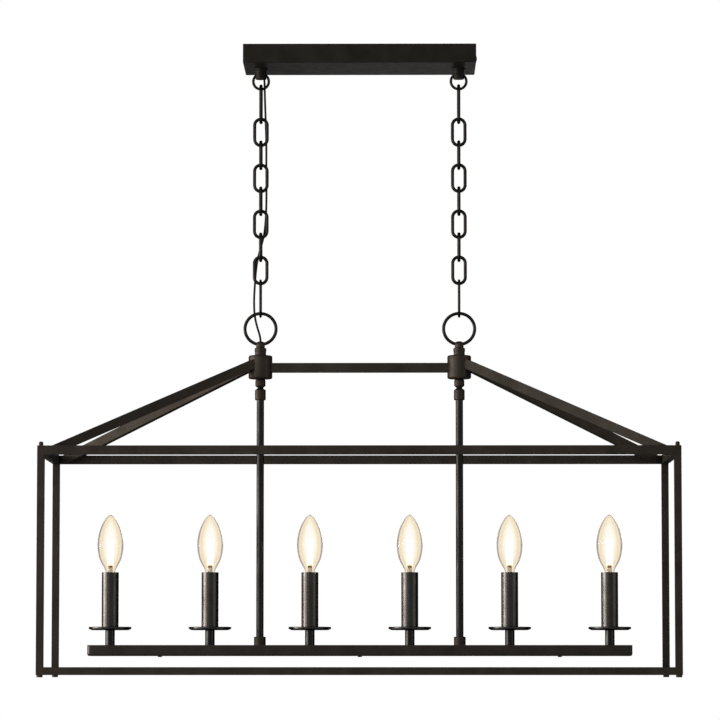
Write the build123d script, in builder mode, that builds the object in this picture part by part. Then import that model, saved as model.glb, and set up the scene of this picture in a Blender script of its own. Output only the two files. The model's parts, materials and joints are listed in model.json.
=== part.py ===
"""Linear island pendant: a box canopy, two chains with rings, and a long open lantern cage with candle lamps.

Millimetres, +Z up, +X along the cage, +Y towards its back. The origin is the middle of the canopy's top,
on the ceiling, and the pendant hangs straight down from there.
"""

from build123d import *
import math
import os

# Fits and clearances
FACE_GAP = 0.3          # between curved faces that rest on each other
SLIP = 0.1              # all round a piece that sits in a pocket or a bore

# Canopy
CANOPY_END_MARGIN = 22.8
CANOPY_WIDTH = 110.0
CANOPY_HEIGHT = 25.5
CANOPY_WALL = 1.2
CANOPY_CORNER = 2.0
CANOPY_EDGE = 1.0

# Mounting plate, with slots for a ceiling box
PLATE_WIDTH = 30.0
PLATE_THICKNESS = 2.0
BOX_SCREW_SPACING = 88.9
BOX_SLOT_LENGTH = 14.0
BOX_SLOT_WIDTH = 4.8
WIRE_WINDOW = 24.0
SIDE_SCREW_DROP = 12.0
TAB_BELOW_SCREW = 5.0     # from the side screw's middle to the end of the plate's tab
SIDE_SCREW_SHANK = 4.0
SIDE_SCREW_LENGTH = 9.0
SIDE_SCREW_HEAD = 7.0
SIDE_SCREW_HEAD_HEIGHT = 2.0
SIDE_SCREW_ROUND = 1.0
GROUND_SCREW_TO_SLOT = 7.45
GROUND_SCREW_HEAD = 8.0
GROUND_SCREW_HEAD_HEIGHT = 5.0
GROUND_SCREW_EDGE = 1.0
GROUND_SCREW_SINK = 0.2  # the screw's end below the ceiling
WIRE_NUT_SPACING = 34.0
WIRE_NUT_FOOT = 9.2
WIRE_NUT_WAIST = 8.0
WIRE_NUT_TIP = 4.8
WIRE_NUT_WAIST_HEIGHT = 9.0
WIRE_NUT_HEIGHT = 14.0

# Canopy loops and the collars that hold them
LOOP_OUTER = 24.7
LOOP_WIRE = 3.7
COLLAR_FLANGE = 17.6
COLLAR_FLANGE_HEIGHT = 2.0
COLLAR_NUT = 14.7
COLLAR_NUT_HEIGHT = 6.0
COLLAR_EDGE = 0.6
LOOP_BOSS = 14.4
LOOP_BOSS_HEIGHT = 6.4
LOOP_SINK = 3.0         # the loop's centre below the boss
LOOP_SHANK = 9.4
LOOP_SHANK_RISE = 9.0   # above the canopy's floor
LOCKNUT_FLATS = 14.0
LOCKNUT_HEIGHT = 3.0
WASHER = 20.0
WASHER_HEIGHT = 1.2

# Chains
LINK_WIRE = 4.4
LINK_WIDTH = 21.4
LINK_LENGTH = 40.5
LINK_COUNT = 7
TOP_LINK_LENGTH = 54.4
BOTTOM_LINK_LENGTH = 52.25
BOTTOM_LINK_WIRE = 3.3
RING_OUTER = 46.35
RING_WIRE = 4.4

# Hub eyes
EYE_TOP = 4.1           # the dome's top above the ring's wire
EYE_DOME = 12.7
EYE_DOME_ROUND = 4.5
EYE_NECK = 11.2
EYE_NECK_DROP = 3.7     # below the ring's wire
EYE_COLLAR = 15.9
EYE_COLLAR_DROP = 4.8
EYE_COLLAR_HEIGHT = 10.3
EYE_COLLAR_EDGE = 1.0
EYE_BEAD_HEIGHT = 4.6
EYE_BEAD_STEP = 0.4
EYE_BORE_FLAT = 4.0     # length of the bore's straight middle
EYE_MOUTH = 0.5          # how far past the dome the bore's cut runs
STUD = 8.0
STUD_LENGTH = 8.5

# Hubs
HUB_DIAMETER = 32.2
HUB_HEIGHT = 31.7
HUB_ROUND = 2.5

# Ridge and hips
RIDGE_SIZE = 12.5
RIDGE_DROP = 16.6       # the ridge's middle below the hub's top
RIDGE_SEAT = 11.0       # from the hub's axis to the ridge's end
TUBE_WALL = 1.2
HIP_SIZE = 12.0
HIP_OFFSET = 5.0        # each hip's line passes this far from the hub's axis
HIP_RISE = 9.2          # height of that line over the ridge, at the hub's axis
HIP_SEAT = 9.5
HIP_LANDING_DROP = 10.3  # the line's height below the top frame, at its inner corner

# Cage
TRAY_TO_FRAME = 59.5
CAGE_WIDTH = 243.0
CAGE_HEIGHT = 301.5
HUB_TO_FRAME = 111.9    # the top frame's top below the ridge's middle
POST_SIZE = 9.5
TOP_RAIL_HEIGHT = 11.8
BOTTOM_RAIL_HEIGHT = 10.4
CAP_DIAMETER = 5.9
CAP_HEIGHT = 5.4
CAP_ROUND = 2.2
CAP_STUD = 3.0
CAP_STUD_LENGTH = 8.0
FOOT_DIAMETER = 8.3
FOOT_HEIGHT = 3.0
FOOT_ROUND = 0.8
FOOT_SHANK = 4.0
FOOT_SHANK_LENGTH = 12.0

# Rods from the hubs to the tray
ROD_DIAMETER = 10.0
ROD_BORE = 6.0
COUPLING_BEAD = 13.8
COUPLING_BEAD_HEIGHT = 9.4
COUPLING_BEAD_EDGE = 1.2
COUPLING_NECK = 7.0
COUPLING_NUT = 14.6
COUPLING_NUT_HEIGHT = 13.5
TURNED_EDGE = 0.8
COUPLING_CONE = 2.9
COUPLING_BORE = 4.0
ROD_SEAT = 9.0          # how far the rod goes into its coupling
ROD_COLLAR = 15.9
ROD_COLLAR_HEIGHT = 11.3

# Lamp tray
CANDLE_COUNT = 6
CANDLE_PITCH = 134.2
TRAY_END_MARGIN = 29.0
TRAY_WIDTH = 50.0
TRAY_HEIGHT = 11.2
TRAY_WALL = 1.0
TRAY_CORNER = 5.0
TRAY_TO_BOTTOM = 15.0   # from the tray's cover to the top of the bottom frame
COVER_HEIGHT = 3.4
COVER_ROUND = 2.8
COVER_SCREW = 3.0
COVER_SCREW_HEAD = 5.6
COVER_SCREW_HEAD_HEIGHT = 1.4
COVER_SCREW_LENGTH = 8.0
COVER_POST = 8.0
THREAD_BELOW_TRAY = 5.0  # rods and stems reach this far under the tray's top
WIRING_DIAMETER = 5.0
WIRING_OFFSET = 14.0

# Candles
STEM_DIAMETER = 12.9
STEM_HEIGHT = 20.1
STEM_THREAD = 9.5
STEM_BORE = 6.5
STEM_THREAD_RISE = 22.0
CUP_DIAMETER = 57.4
CUP_HEIGHT = 4.4
CUP_WALL = 1.4
CUP_RIM_RUN = 4.0       # the slope from the flat floor to the rim
CUP_RIM_RISE = 1.8
CUP_LIP = 2.2
CUP_LIP_ROUND = 0.9
SLEEVE_DIAMETER = 22.8
SLEEVE_WALL = 1.1
SLEEVE_HEIGHT = 76.1
HOLDER_GAP = 0.6        # between the lamp holder and its sleeve
HOLDER_FOOT_HEIGHT = 8.0
HOLDER_BELOW_SLEEVE = 2.5
BULB_GAP = 0.2          # between the bulb's neck and the lamp holder
BULB_SEAT_DEPTH = 25.5

# Bulbs
BULB_DIAMETER = 35.0
BULB_HEIGHT = 80.5      # the glass, from its base to its tip
BULB_NECK = 13.4
GLASS_WALL = 0.9
GLASS_NECK_HEIGHT = 4.8
GLASS_SINK = 0.5        # how far the glass starts below the lamp holder's top
BASE_DIAMETER = 11.9
BASE_RIM_HEIGHT = 1.5
BASE_SHELL_HEIGHT = 17.0
BASE_CONTACT = 4.5
BASE_CONTACT_HEIGHT = 2.0
MOUNT_FOOT = 7.0
MOUNT_HEIGHT = 12.5
MOUNT_TOP = 5.6
MOUNT_WIRE = 1.0
FILAMENT_LENGTH = 32.5
FILAMENT_DIAMETER = 1.5
FILAMENT_SPREAD = 7.0
FILAMENT_COUNT = 4
FILAMENT_DISC = 9.6
FILAMENT_DISC_HEIGHT = 0.8

# Power cord on the left chain: its points are offsets from the chain's line and heights
CORD_DIAMETER = 2.9
CORD_GAP = 0.2          # all round the cord, in the holes at its ends
CORD_ARC_SHARE = 0.45   # of the shorter run beside a corner
CORD_LOOP_DEPTH = 3.0   # how far the cord goes up into the loop's boss
CORD_EYE_DEPTH = 3.5    # how far it goes down into the eye's dome
CORD_EXIT = (4.4, 2.6)
CORD_ENTRY = (0.0, 4.35)

# Places worked out from the sizes above
HANGER_X = CANDLE_PITCH
CORD_HOLE = CORD_DIAMETER + 2 * CORD_GAP
HOLDER_DIAMETER = SLEEVE_DIAMETER - 2 * SLEEVE_WALL - 2 * HOLDER_GAP
HOLDER_BORE = BULB_NECK + 2 * BULB_GAP
PLATE_TAB_DROP = SIDE_SCREW_DROP + TAB_BELOW_SCREW
GROUND_SCREW_PLACE = (BOX_SCREW_SPACING - BOX_SLOT_LENGTH) / 2 - GROUND_SCREW_TO_SLOT
SIDES = {"left": -1, "right": 1}
CANOPY_LENGTH = 2 * (HANGER_X + CANOPY_END_MARGIN)
CANOPY_FLOOR = -CANOPY_HEIGHT
BOSS_TOP = CANOPY_FLOOR - COLLAR_FLANGE_HEIGHT - COLLAR_NUT_HEIGHT
BOSS_BOTTOM = BOSS_TOP - LOOP_BOSS_HEIGHT
LOOP_RADIUS = (LOOP_OUTER - LOOP_WIRE) / 2
LOOP_CENTRE = BOSS_BOTTOM - LOOP_SINK
LOOP_PIVOT = LOOP_CENTRE - LOOP_RADIUS


def next_wire(wire_height, wire, next_wire_diameter):
    """Height of the wire centre that hangs on a wire at wire_height."""
    return wire_height + wire / 2 + FACE_GAP + next_wire_diameter / 2


TOP_LINK_TOP = next_wire(LOOP_PIVOT, LOOP_WIRE, LINK_WIRE)
TOP_LINK_FOOT = TOP_LINK_TOP - TOP_LINK_LENGTH + LINK_WIRE
CHAIN_TOP = next_wire(TOP_LINK_FOOT, LINK_WIRE, LINK_WIRE)
LINK_STEP = LINK_LENGTH - 2 * LINK_WIRE - FACE_GAP
CHAIN_FOOT = CHAIN_TOP - (LINK_COUNT - 1) * LINK_STEP - LINK_LENGTH + LINK_WIRE
BOTTOM_LINK_TOP = next_wire(CHAIN_FOOT, LINK_WIRE, BOTTOM_LINK_WIRE)
BOTTOM_LINK_FOOT = BOTTOM_LINK_TOP - BOTTOM_LINK_LENGTH + BOTTOM_LINK_WIRE
RING_RADIUS = (RING_OUTER - RING_WIRE) / 2
RING_TOP = next_wire(BOTTOM_LINK_FOOT, BOTTOM_LINK_WIRE, RING_WIRE)
RING_CENTRE = RING_TOP - RING_RADIUS
RING_PIVOT = RING_CENTRE - RING_RADIUS

EYE_DOME_TOP = RING_PIVOT + EYE_TOP
EYE_COLLAR_TOP = RING_PIVOT - EYE_COLLAR_DROP
HUB_TOP = EYE_COLLAR_TOP - EYE_COLLAR_HEIGHT
HUB_BOTTOM = HUB_TOP - HUB_HEIGHT
RIDGE_Z = HUB_TOP - RIDGE_DROP
FRAME_TOP = RIDGE_Z - HUB_TO_FRAME
FRAME_BOTTOM = FRAME_TOP - CAGE_HEIGHT
TOP_RAIL_FOOT = FRAME_TOP - TOP_RAIL_HEIGHT
BOTTOM_RAIL_TOP = FRAME_BOTTOM + BOTTOM_RAIL_HEIGHT
TRAY_FOOT = BOTTOM_RAIL_TOP + TRAY_TO_BOTTOM
COVER_TOP = TRAY_FOOT + COVER_HEIGHT
TRAY_TOP = COVER_TOP + TRAY_HEIGHT
TRAY_LENGTH = (CANDLE_COUNT - 1) * CANDLE_PITCH + 2 * TRAY_END_MARGIN
CAGE_LENGTH = TRAY_LENGTH + 2 * TRAY_TO_FRAME
INNER_X = CAGE_LENGTH / 2 - POST_SIZE
INNER_Y = CAGE_WIDTH / 2 - POST_SIZE
POST_X = CAGE_LENGTH - POST_SIZE
POST_Y = CAGE_WIDTH - POST_SIZE
COUPLING_FOOT = HUB_BOTTOM - COUPLING_BEAD_HEIGHT - 2 * COUPLING_CONE - COUPLING_NUT_HEIGHT
THREAD_END = TRAY_TOP - TRAY_WALL - THREAD_BELOW_TRAY
CUP_FLOOR = TRAY_TOP + STEM_HEIGHT
SLEEVE_FOOT = CUP_FLOOR + CUP_WALL
SLEEVE_TOP = SLEEVE_FOOT + SLEEVE_HEIGHT
HOLDER_TOP = SLEEVE_TOP - HOLDER_BELOW_SLEEVE
BULB_SEAT = HOLDER_TOP - BULB_SEAT_DEPTH
GLASS_FOOT = HOLDER_TOP - GLASS_SINK
CANDLE_PLACES = GridLocations(CANDLE_PITCH, 1, CANDLE_COUNT, 1)

os.makedirs("parts", exist_ok=True)


def save(piece, name):
    """Label one finished piece and write its STEP file."""
    piece.label = name
    export_step(piece, f"parts/{name}.step")


def loop_plane(x, z, across):
    """A plane with its own y up: across "x" for a loop seen from the front, "y" for one seen edge-on."""
    if across == "x":
        return Plane(origin=(x, 0, z), x_dir=(1, 0, 0), z_dir=(0, -1, 0))
    return Plane(origin=(x, 0, z), x_dir=(0, 1, 0), z_dir=(1, 0, 0))


def oval_link(x, top, length, wire, across):
    """One chain link; top is the height of its upper wire's centre."""
    bend = (LINK_WIDTH - wire) / 2
    straight = length - LINK_WIDTH
    with BuildPart() as link:
        with BuildLine(loop_plane(x, top - bend, across)) as centre_line:
            start = Line((bend, -straight), (bend, 0))
            CenterArc((0, 0), bend, 0, 180)
            Line((-bend, 0), (-bend, -straight))
            CenterArc((0, -straight), bend, 180, 180)
        with BuildSketch(Plane(origin=start @ 0, z_dir=start % 0)):
            Circle(wire / 2)
        sweep(path=centre_line.wires()[0])
    return link.part


def flat_bar(length, width, height, centre, bore_axis=None):
    """A square-cornered bar, hollow along bore_axis when one is given."""
    with BuildPart() as bar:
        with Locations(centre):
            Box(length, width, height)
            if bore_axis == "x":
                Box(length, width - 2 * TUBE_WALL, height - 2 * TUBE_WALL, mode=Mode.SUBTRACT)
            if bore_axis == "y":
                Box(length - 2 * TUBE_WALL, width, height - 2 * TUBE_WALL, mode=Mode.SUBTRACT)
    return bar.part


def turned(x, outline, y=0.0):
    """A solid turned about a vertical axis at (x, y) from a closed outline of (radius, height) points."""
    with BuildPart() as piece:
        with BuildSketch(Plane(origin=(x, y, 0), x_dir=(1, 0, 0), z_dir=(0, -1, 0))):
            with BuildLine():
                Polyline(*outline, close=True)
            make_face()
        revolve(axis=Axis((x, y, 0), (0, 0, 1)))
    return piece.part


def tube_outline(outer, inner, low, high):
    """Outline of a plain tube, for turned()."""
    return [(inner / 2, low), (outer / 2, low), (outer / 2, high), (inner / 2, high)]


def hex_nut(x, low, thread):
    """A locknut round a threaded end of the given diameter, its lower face at low."""
    with BuildPart() as nut:
        with BuildSketch(Plane.XY.offset(low)):
            with Locations((x, 0)):
                RegularPolygon(LOCKNUT_FLATS / 2, 6, major_radius=False)
                Circle(thread / 2 + SLIP, mode=Mode.SUBTRACT)
        extrude(amount=LOCKNUT_HEIGHT)
    return nut.part


# ---- Canopy --------------------------------------------------------------------------------------

with BuildPart() as canopy_pan:
    with BuildSketch(Plane.XY.offset(CANOPY_FLOOR)):
        RectangleRounded(CANOPY_LENGTH, CANOPY_WIDTH, CANOPY_CORNER)
    extrude(amount=CANOPY_HEIGHT)
    fillet(canopy_pan.faces().sort_by(Axis.Z)[0].edges(), CANOPY_EDGE)
    with BuildSketch(Plane.XY.offset(CANOPY_FLOOR + CANOPY_WALL)):
        RectangleRounded(
            CANOPY_LENGTH - 2 * CANOPY_WALL, CANOPY_WIDTH - 2 * CANOPY_WALL, CANOPY_CORNER - CANOPY_WALL
        )
    extrude(amount=CANOPY_HEIGHT, mode=Mode.SUBTRACT)
    with BuildSketch(Plane.XY.offset(CANOPY_FLOOR)):
        with Locations((-HANGER_X, 0), (HANGER_X, 0)):
            Circle(LOOP_SHANK / 2 + SLIP)
    extrude(amount=CANOPY_WALL, mode=Mode.SUBTRACT)
    with BuildSketch(Plane.YZ.offset(-CANOPY_LENGTH / 2)):
        with Locations((0, -SIDE_SCREW_DROP)):
            Circle(SIDE_SCREW_SHANK / 2 + SLIP)
    extrude(amount=CANOPY_LENGTH, mode=Mode.SUBTRACT)
save(canopy_pan.part, "canopy_pan")

PLATE_LENGTH = CANOPY_LENGTH - 2 * CANOPY_WALL - 2 * FACE_GAP
with BuildPart() as mounting_plate:
    with BuildSketch(Plane.XY.offset(-PLATE_THICKNESS)):
        Rectangle(PLATE_LENGTH, PLATE_WIDTH)
        Circle(WIRE_WINDOW / 2, mode=Mode.SUBTRACT)
        with GridLocations(BOX_SCREW_SPACING, 1, 2, 1):
            SlotOverall(BOX_SLOT_LENGTH, BOX_SLOT_WIDTH, mode=Mode.SUBTRACT)
        with Locations((GROUND_SCREW_PLACE, 0)):
            Circle(SIDE_SCREW_SHANK / 2 + SLIP, mode=Mode.SUBTRACT)
    extrude(amount=PLATE_THICKNESS)
    for side in SIDES.values():
        with Locations((side * (PLATE_LENGTH - PLATE_THICKNESS) / 2, 0, -PLATE_TAB_DROP / 2)):
            Box(PLATE_THICKNESS, PLATE_WIDTH, PLATE_TAB_DROP)
    with BuildSketch(Plane.YZ.offset(-PLATE_LENGTH / 2)):
        with Locations((0, -SIDE_SCREW_DROP)):
            Circle(SIDE_SCREW_SHANK / 2 + SLIP)
    extrude(amount=PLATE_LENGTH, mode=Mode.SUBTRACT)
save(mounting_plate.part, "mounting_plate")


def side_screw(side):
    """A pan-head screw through the canopy's end wall into the plate's tab."""
    head_face = Plane(origin=(side * CANOPY_LENGTH / 2, 0, -SIDE_SCREW_DROP), z_dir=(side, 0, 0))
    with BuildPart() as screw:
        with BuildSketch(head_face):
            Circle(SIDE_SCREW_HEAD / 2)
        extrude(amount=SIDE_SCREW_HEAD_HEIGHT)
        outer_face = screw.faces().sort_by(Axis(head_face.origin, head_face.z_dir))[-1]
        fillet(outer_face.edges(), SIDE_SCREW_ROUND)
        with BuildSketch(head_face):
            Circle(SIDE_SCREW_SHANK / 2)
        extrude(amount=-SIDE_SCREW_LENGTH)
    return screw.part


side_screws = [side_screw(side) for side in SIDES.values()]
with BuildPart() as canopy_side_screws:
    add(side_screws)
save(canopy_side_screws.part, "canopy_side_screws")

ground_head = GROUND_SCREW_HEAD / 2
ground_shank = SIDE_SCREW_SHANK / 2
ground_foot = -PLATE_THICKNESS - GROUND_SCREW_HEAD_HEIGHT
ground_end = -GROUND_SCREW_SINK
ground_screw = turned(
    GROUND_SCREW_PLACE,
    [
        (0, ground_foot), (ground_head - GROUND_SCREW_EDGE, ground_foot),
        (ground_head, ground_foot + GROUND_SCREW_EDGE), (ground_head, -PLATE_THICKNESS),
        (ground_shank, -PLATE_THICKNESS), (ground_shank, ground_end), (0, ground_end),
    ],
)
save(ground_screw, "ground_screw")

nut_seat = CANOPY_FLOOR + CANOPY_WALL
wire_nut_outline = [
    (0, nut_seat), (WIRE_NUT_FOOT / 2, nut_seat), (WIRE_NUT_WAIST / 2, nut_seat + WIRE_NUT_WAIST_HEIGHT),
    (WIRE_NUT_TIP / 2, nut_seat + WIRE_NUT_HEIGHT), (0, nut_seat + WIRE_NUT_HEIGHT),
]
wire_nut_row = [turned(place * WIRE_NUT_SPACING, wire_nut_outline) for place in (-1, 0, 1)]
with BuildPart() as wire_nuts:
    add(wire_nut_row)
save(wire_nuts.part, "wire_nuts")


def canopy_loop(x):
    """A ring cast on a boss, with a threaded shank and a hole beside it for the cord."""
    with BuildPart() as loop:
        with Locations((x, 0, LOOP_CENTRE)):
            Torus(LOOP_RADIUS, LOOP_WIRE / 2, rotation=(90, 0, 0))
        with BuildSketch(Plane.XY.offset(BOSS_TOP)):
            with Locations((x, 0)):
                Circle(LOOP_OUTER)
        extrude(amount=LOOP_OUTER, mode=Mode.SUBTRACT)
        with BuildSketch(Plane.XY.offset(BOSS_BOTTOM)):
            with Locations((x, 0)):
                Circle(LOOP_BOSS / 2)
        extrude(amount=LOOP_BOSS_HEIGHT)
        with BuildSketch(Plane.XY.offset(BOSS_TOP)):
            with Locations((x, 0)):
                Circle(LOOP_SHANK / 2)
        extrude(amount=CANOPY_FLOOR + LOOP_SHANK_RISE - BOSS_TOP)
        with BuildSketch(Plane.XY.offset(BOSS_BOTTOM)):
            with Locations((x + CORD_EXIT[0], CORD_EXIT[1])):
                Circle(CORD_HOLE / 2)
        extrude(amount=CORD_LOOP_DEPTH, mode=Mode.SUBTRACT)
    return loop.part


def canopy_collar(x):
    """A flange against the canopy and a round nut, on the loop's shank."""
    flange_foot = CANOPY_FLOOR - COLLAR_FLANGE_HEIGHT
    bore = LOOP_SHANK / 2 + SLIP
    return turned(
        x,
        [
            (bore, BOSS_TOP), (COLLAR_NUT / 2 - COLLAR_EDGE, BOSS_TOP),
            (COLLAR_NUT / 2, BOSS_TOP + COLLAR_EDGE), (COLLAR_NUT / 2, flange_foot),
            (COLLAR_FLANGE / 2 - COLLAR_EDGE, flange_foot), (COLLAR_FLANGE / 2, flange_foot + COLLAR_EDGE),
            (COLLAR_FLANGE / 2, CANOPY_FLOOR), (bore, CANOPY_FLOOR),
        ],
    )


def canopy_locknut(x):
    """Washer and hexagon nut on the shank, inside the canopy."""
    seat = CANOPY_FLOOR + CANOPY_WALL
    with BuildPart() as nut:
        with BuildSketch(Plane.XY.offset(seat)):
            with Locations((x, 0)):
                Circle(WASHER / 2)
        extrude(amount=WASHER_HEIGHT)
        with BuildSketch(Plane.XY.offset(seat + WASHER_HEIGHT)):
            with Locations((x, 0)):
                RegularPolygon(LOCKNUT_FLATS / 2, 6, major_radius=False)
        extrude(amount=LOCKNUT_HEIGHT)
        with BuildSketch(Plane.XY.offset(seat)):
            with Locations((x, 0)):
                Circle(LOOP_SHANK / 2 + SLIP)
        extrude(amount=WASHER_HEIGHT + LOCKNUT_HEIGHT, mode=Mode.SUBTRACT)
    return nut.part


locknut_pair = [canopy_locknut(side * HANGER_X) for side in SIDES.values()]
with BuildPart() as canopy_locknuts:
    add(locknut_pair)
save(canopy_locknuts.part, "canopy_locknuts")


# ---- Chains, rings and hub eyes ------------------------------------------------------------------


def hanging_ring(x):
    """The large plain ring between the chain and the hub."""
    with BuildPart() as ring:
        with Locations((x, 0, RING_CENTRE)):
            Torus(RING_RADIUS, RING_WIRE / 2, rotation=(90, 0, 0))
    return ring.part


def hub_eye(x):
    """A domed eye that the ring passes through, turned with a collar and a stud that screws into the hub."""
    dome = EYE_DOME / 2
    neck_top = RING_PIVOT - EYE_NECK_DROP
    bead_foot = EYE_COLLAR_TOP - EYE_BEAD_HEIGHT
    collar = EYE_COLLAR / 2
    bore = RING_WIRE / 2 + FACE_GAP
    mouth = dome + EYE_MOUTH
    mouth_rise = RING_RADIUS - math.sqrt(RING_RADIUS**2 - mouth**2)
    with BuildPart() as eye:
        with BuildSketch(loop_plane(x, 0, "x")):
            with BuildLine():
                Polyline(
                    (0, EYE_DOME_TOP), (0, HUB_TOP - STUD_LENGTH), (STUD / 2, HUB_TOP - STUD_LENGTH),
                    (STUD / 2, HUB_TOP), (collar - EYE_BEAD_STEP, HUB_TOP),
                    (collar - EYE_BEAD_STEP, bead_foot - EYE_BEAD_STEP), (collar, bead_foot),
                    (collar, EYE_COLLAR_TOP - EYE_COLLAR_EDGE), (collar - EYE_COLLAR_EDGE, EYE_COLLAR_TOP),
                    (EYE_NECK / 2, EYE_COLLAR_TOP), (EYE_NECK / 2, neck_top), (dome, neck_top),
                    (dome, EYE_DOME_TOP), close=True,
                )
            make_face()
        revolve(axis=Axis((x, 0, 0), (0, 0, 1)))
        fillet(eye.faces().sort_by(Axis.Z)[-1].edges(), EYE_DOME_ROUND)
        with BuildSketch(loop_plane(x, RING_PIVOT, "x")):
            with BuildLine():
                Polyline(
                    (-mouth, 0), (-mouth, bore + mouth_rise), (-EYE_BORE_FLAT / 2, bore),
                    (EYE_BORE_FLAT / 2, bore), (mouth, bore + mouth_rise), (mouth, 0), close=True,
                )
            make_face()
        revolve(axis=Axis((x, 0, RING_PIVOT), (1, 0, 0)), mode=Mode.SUBTRACT)
        with BuildSketch(Plane.XY.offset(EYE_DOME_TOP)):
            with Locations((x + CORD_ENTRY[0], CORD_ENTRY[1])):
                Circle(CORD_HOLE / 2)
        extrude(amount=-CORD_EYE_DEPTH, mode=Mode.SUBTRACT)
    return eye.part


def chain_row(x):
    """The standard links, turned a quarter turn from one to the next."""
    faces = ("x", "y")
    return [
        oval_link(x, CHAIN_TOP - place * LINK_STEP, LINK_LENGTH, LINK_WIRE, faces[place % 2])
        for place in range(LINK_COUNT)
    ]


# ---- Hub, ridge and hips -------------------------------------------------------------------------

HIP_RUN_X = INNER_X - HANGER_X
HIP_RUN_Y = INNER_Y - HIP_OFFSET
HIP_RUN = math.hypot(HIP_RUN_X, HIP_RUN_Y)
HIP_START_Z = RIDGE_Z + HIP_RISE
HIP_FALL = HIP_START_Z - (FRAME_TOP - HIP_LANDING_DROP)


def hip_bar(side, back, start, end, size):
    """A square bar along a hip's line, between two distances from the hub's axis measured in plan."""
    run = Vector(side * HIP_RUN_X, back * HIP_RUN_Y, -HIP_FALL) / HIP_RUN
    hub_point = Vector(side * HANGER_X, back * HIP_OFFSET, HIP_START_Z)
    level = Vector(-back * HIP_RUN_Y, side * HIP_RUN_X, 0) / HIP_RUN
    with BuildPart() as bar:
        with BuildSketch(Plane(origin=hub_point + run * start, x_dir=level, z_dir=run)):
            Rectangle(size, size)
        extrude(amount=(end - start) * run.length)
    return bar.part


def hip(side, back):
    """A hip, cut square at the hub and cut to the inside of the top frame where it lands."""
    bar = hip_bar(side, back, HIP_SEAT, HIP_RUN + HIP_SIZE, HIP_SIZE)
    with BuildPart() as trimmed:
        with BuildSketch(Plane.XY.offset(TOP_RAIL_FOOT)):
            Rectangle(2 * INNER_X, 2 * INNER_Y)
        extrude(amount=HUB_TOP - TOP_RAIL_FOOT)
        add(bar, mode=Mode.INTERSECT)
    return trimmed.part


def hub(side):
    """A turned drum with pockets for the ridge and two hips, bored through for the studs."""
    x = side * HANGER_X
    pocket = RIDGE_SIZE + 2 * SLIP
    pockets = [hip_bar(side, back, HIP_SEAT, HUB_DIAMETER, HIP_SIZE + 2 * SLIP) for back in (-1, 1)]
    with BuildPart() as drum:
        with BuildSketch(Plane.XY.offset(HUB_BOTTOM)):
            with Locations((x, 0)):
                Circle(HUB_DIAMETER / 2)
        extrude(amount=HUB_HEIGHT)
        fillet(drum.edges().filter_by(GeomType.CIRCLE), HUB_ROUND)
        with BuildSketch(Plane.XY.offset(HUB_BOTTOM)):
            with Locations((x, 0)):
                Circle(STUD / 2 + SLIP)
        extrude(amount=HUB_HEIGHT, mode=Mode.SUBTRACT)
        with Locations((x - side * HUB_DIAMETER, 0, RIDGE_Z)):
            Box(2 * (HUB_DIAMETER - RIDGE_SEAT), pocket, pocket, mode=Mode.SUBTRACT)
        add(pockets, mode=Mode.SUBTRACT)
    return drum.part


RIDGE_LENGTH = 2 * (HANGER_X - RIDGE_SEAT)
save(flat_bar(RIDGE_LENGTH, RIDGE_SIZE, RIDGE_SIZE, (0, 0, RIDGE_Z), "x"), "ridge_tube")

for side_name, side in SIDES.items():
    x = side * HANGER_X
    save(canopy_loop(x), f"{side_name}_canopy_loop")
    save(canopy_collar(x), f"{side_name}_canopy_collar")
    save(oval_link(x, TOP_LINK_TOP, TOP_LINK_LENGTH, LINK_WIRE, "y"), f"{side_name}_top_link")
    links = chain_row(x)
    with BuildPart() as chain_links:
        add(links)
    save(chain_links.part, f"{side_name}_chain_links")
    bottom_link = oval_link(x, BOTTOM_LINK_TOP, BOTTOM_LINK_LENGTH, BOTTOM_LINK_WIRE, "y")
    save(bottom_link, f"{side_name}_bottom_link")
    save(hanging_ring(x), f"{side_name}_hanging_ring")
    save(hub_eye(x), f"{side_name}_hub_eye")
    save(hub(side), f"{side_name}_hub")
    save(hip(side, -1), f"{side_name}_front_hip")
    save(hip(side, 1), f"{side_name}_rear_hip")


# ---- Cage frame ----------------------------------------------------------------------------------

for level_name, rail_height, rail_foot in (
    ("top", TOP_RAIL_HEIGHT, TOP_RAIL_FOOT), ("bottom", BOTTOM_RAIL_HEIGHT, FRAME_BOTTOM),
):
    rail_z = rail_foot + rail_height / 2
    long_pair = [
        flat_bar(2 * INNER_X, POST_SIZE, rail_height, (0, back * POST_Y / 2, rail_z), "x") for back in (-1, 1)
    ]
    with BuildPart() as side_rails:
        add(long_pair)
    save(side_rails.part, f"{level_name}_side_rails")
    end_pair = [
        flat_bar(POST_SIZE, 2 * INNER_Y, rail_height, (side * POST_X / 2, 0, rail_z), "y") for side in (-1, 1)
    ]
    with BuildPart() as end_rails:
        add(end_pair)
    save(end_rails.part, f"{level_name}_end_rails")

CORNERS = GridLocations(POST_X, POST_Y, 2, 2)

with BuildPart() as corner_posts:
    with BuildSketch(Plane.XY.offset(FRAME_BOTTOM)):
        with CORNERS:
            Rectangle(POST_SIZE, POST_SIZE)
    extrude(amount=CAGE_HEIGHT)
    with BuildSketch(Plane.XY.offset(FRAME_TOP)):
        with CORNERS:
            Circle(CAP_STUD / 2 + SLIP)
    extrude(amount=-CAP_STUD_LENGTH, mode=Mode.SUBTRACT)
    with BuildSketch(Plane.XY.offset(FRAME_BOTTOM)):
        with CORNERS:
            Circle(FOOT_SHANK / 2 + SLIP)
    extrude(amount=FOOT_SHANK_LENGTH, mode=Mode.SUBTRACT)
save(corner_posts.part, "corner_posts")

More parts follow.
